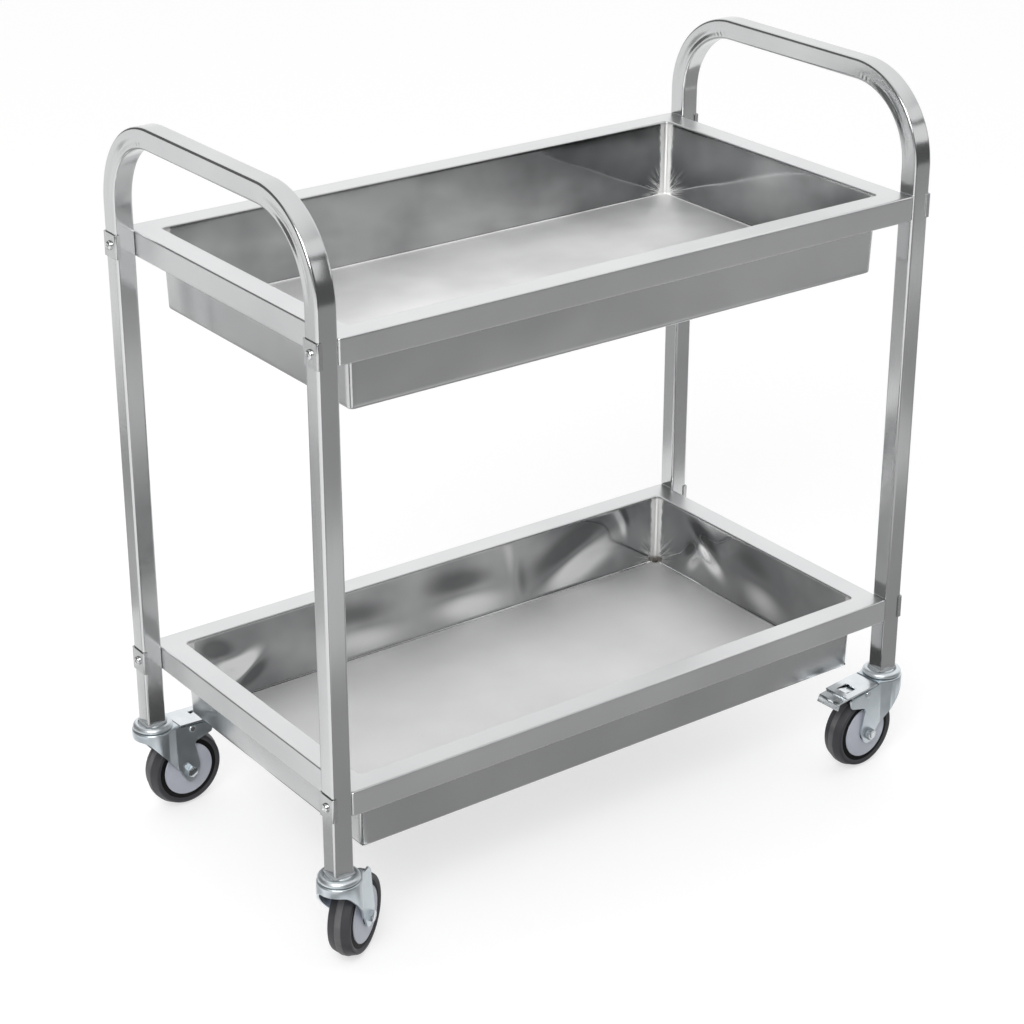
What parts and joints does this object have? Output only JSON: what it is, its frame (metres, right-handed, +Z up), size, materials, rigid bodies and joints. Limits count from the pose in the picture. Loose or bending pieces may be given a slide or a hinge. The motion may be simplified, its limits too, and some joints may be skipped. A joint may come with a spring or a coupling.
{
  "type": "service cart",
  "caption": "Two-tier stainless service cart: deep bowl trays between bent square-tube ends that form push handles, on swivel casters with foot brakes.",
  "frame": {"origin": "on the floor under the middle of the cart", "axes": "+X along the long side, +Y to the back and +Z up; each end frame's handle lies across the end, along Y"},
  "size_m": [0.8764, 0.4844, 0.9],
  "materials": {
    "stainless_tube": "satin ground square tube",
    "stainless_sheet": "cold-rolled bright sheet, folded and corner-welded",
    "stainless_fastener": "bright cold-headed steel",
    "zinc_plated_steel": "blue-passivated zinc plate on pressed steel",
    "bearing_steel": "ground and polished",
    "grey_polypropylene": "smooth moulded",
    "black_polypropylene": "smooth moulded",
    "grey_nylon": "smooth moulded",
    "grey_rubber": "matt moulded rubber"
  },
  "bodies": {
    "cart": {"left_end_frame": "stainless_tube", "right_end_frame": "stainless_tube", "upper_tray": "stainless_sheet", "lower_tray": "stainless_sheet", "upper_tray_corner_brackets": "stainless_sheet", "lower_tray_corner_brackets": "stainless_sheet", "tray_weld_nuts": "stainless_fastener", "leg_saddle_plates": "stainless_sheet", "tray_screws": "stainless_fastener", "leg_inserts": "grey_nylon", "front_left_stem": "zinc_plated_steel", "front_left_swivel_cap": "zinc_plated_steel", "rear_left_stem": "zinc_plated_steel", "rear_left_swivel_cap": "zinc_plated_steel", "front_right_stem": "zinc_plated_steel", "front_right_swivel_cap": "zinc_plated_steel", "rear_right_stem": "zinc_plated_steel", "rear_right_swivel_cap": "zinc_plated_steel"},
    "front_left_swivel": {"front_left_fork": "zinc_plated_steel", "front_left_axle_bolt": "zinc_plated_steel", "front_left_axle_nut": "zinc_plated_steel", "front_left_axle_sleeve": "bearing_steel"},
    "front_left_wheel": {"front_left_wheel_core": "black_polypropylene", "front_left_tyre": "grey_rubber", "front_left_wheel_covers": "grey_polypropylene"},
    "front_left_balls": {"front_left_swivel_balls": "bearing_steel"},
    "rear_left_swivel": {"rear_left_fork": "zinc_plated_steel", "rear_left_axle_bolt": "zinc_plated_steel", "rear_left_axle_nut": "zinc_plated_steel", "rear_left_axle_sleeve": "bearing_steel", "rear_left_brake_pin": "zinc_plated_steel"},
    "rear_left_wheel": {"rear_left_wheel_core": "black_polypropylene", "rear_left_tyre": "grey_rubber", "rear_left_wheel_covers": "grey_polypropylene"},
    "rear_left_balls": {"rear_left_swivel_balls": "bearing_steel"},
    "rear_left_brake": {"rear_left_brake_pedal": "zinc_plated_steel", "rear_left_brake_shoe": "black_polypropylene"},
    "front_right_swivel": {"front_right_fork": "zinc_plated_steel", "front_right_axle_bolt": "zinc_plated_steel", "front_right_axle_nut": "zinc_plated_steel", "front_right_axle_sleeve": "bearing_steel", "front_right_brake_pin": "zinc_plated_steel"},
    "front_right_wheel": {"front_right_wheel_core": "black_polypropylene", "front_right_tyre": "grey_rubber", "front_right_wheel_covers": "grey_polypropylene"},
    "front_right_balls": {"front_right_swivel_balls": "bearing_steel"},
    "front_right_brake": {"front_right_brake_pedal": "zinc_plated_steel", "front_right_brake_shoe": "black_polypropylene"},
    "rear_right_swivel": {"rear_right_fork": "zinc_plated_steel", "rear_right_axle_bolt": "zinc_plated_steel", "rear_right_axle_nut": "zinc_plated_steel", "rear_right_axle_sleeve": "bearing_steel"},
    "rear_right_wheel": {"rear_right_wheel_core": "black_polypropylene", "rear_right_tyre": "grey_rubber", "rear_right_wheel_covers": "grey_polypropylene"},
    "rear_right_balls": {"rear_right_swivel_balls": "bearing_steel"}
  },
  "joints": [
    {"name": "front_left_swivel", "type": "hinge", "parent": "cart", "child": "front_left_swivel", "pos_m": [-0.4125, -0.2125, 0.1182], "axis": [0, 0, 1], "continuous": true},
    {"name": "front_left_roll", "type": "hinge", "parent": "front_left_swivel", "child": "front_left_wheel", "pos_m": [-0.38017, -0.19069, 0.05], "axis": [-0.5592, 0.829, 0], "continuous": true},
    {"name": "front_left_ball_ring", "type": "hinge", "parent": "cart", "child": "front_left_balls", "pos_m": [-0.4125, -0.2125, 0.1186], "axis": [0, 0, 1], "continuous": true},
    {"name": "rear_left_swivel", "type": "hinge", "parent": "cart", "child": "rear_left_swivel", "pos_m": [-0.4125, 0.2125, 0.1182], "axis": [0, 0, 1], "continuous": true},
    {"name": "rear_left_roll", "type": "hinge", "parent": "rear_left_swivel", "child": "rear_left_wheel", "pos_m": [-0.37355, 0.21454, 0.05], "axis": [-0.0523, 0.9986, 0], "continuous": true},
    {"name": "rear_left_ball_ring", "type": "hinge", "parent": "cart", "child": "rear_left_balls", "pos_m": [-0.4125, 0.2125, 0.1186], "axis": [0, 0, 1], "continuous": true},
    {"name": "rear_left_brake", "type": "hinge", "parent": "rear_left_swivel", "child": "rear_left_brake", "pos_m": [-0.36856, 0.2148, 0.108], "axis": [-0.0523, 0.9986, 0], "range_deg": [0, 8]},
    {"name": "front_right_swivel", "type": "hinge", "parent": "cart", "child": "front_right_swivel", "pos_m": [0.4125, -0.2125, 0.1182], "axis": [0, 0, 1], "continuous": true},
    {"name": "front_right_roll", "type": "hinge", "parent": "front_right_swivel", "child": "front_right_wheel", "pos_m": [0.37355, -0.21454, 0.05], "axis": [0.0523, -0.9986, 0], "continuous": true},
    {"name": "front_right_ball_ring", "type": "hinge", "parent": "cart", "child": "front_right_balls", "pos_m": [0.4125, -0.2125, 0.1186], "axis": [0, 0, 1], "continuous": true},
    {"name": "front_right_brake", "type": "hinge", "parent": "front_right_swivel", "child": "front_right_brake", "pos_m": [0.36856, -0.2148, 0.108], "axis": [0.0523, -0.9986, 0], "range_deg": [0, 8]},
    {"name": "rear_right_swivel", "type": "hinge", "parent": "cart", "child": "rear_right_swivel", "pos_m": [0.4125, 0.2125, 0.1182], "axis": [0, 0, 1], "continuous": true},
    {"name": "rear_right_roll", "type": "hinge", "parent": "rear_right_swivel", "child": "rear_right_wheel", "pos_m": [0.38017, 0.19069, 0.05], "axis": [0.5592, -0.829, 0], "continuous": true},
    {"name": "rear_right_ball_ring", "type": "hinge", "parent": "cart", "child": "rear_right_balls", "pos_m": [0.4125, 0.2125, 0.1186], "axis": [0, 0, 1], "continuous": true}
  ],
  "couplings": [
    {"joint": "front_left_ball_ring", "follows": "front_left_swivel", "ratio": 0.5},
    {"joint": "rear_left_ball_ring", "follows": "rear_left_swivel", "ratio": 0.5},
    {"joint": "front_right_ball_ring", "follows": "front_right_swivel", "ratio": 0.5},
    {"joint": "rear_right_ball_ring", "follows": "rear_right_swivel", "ratio": 0.5}
  ]
}
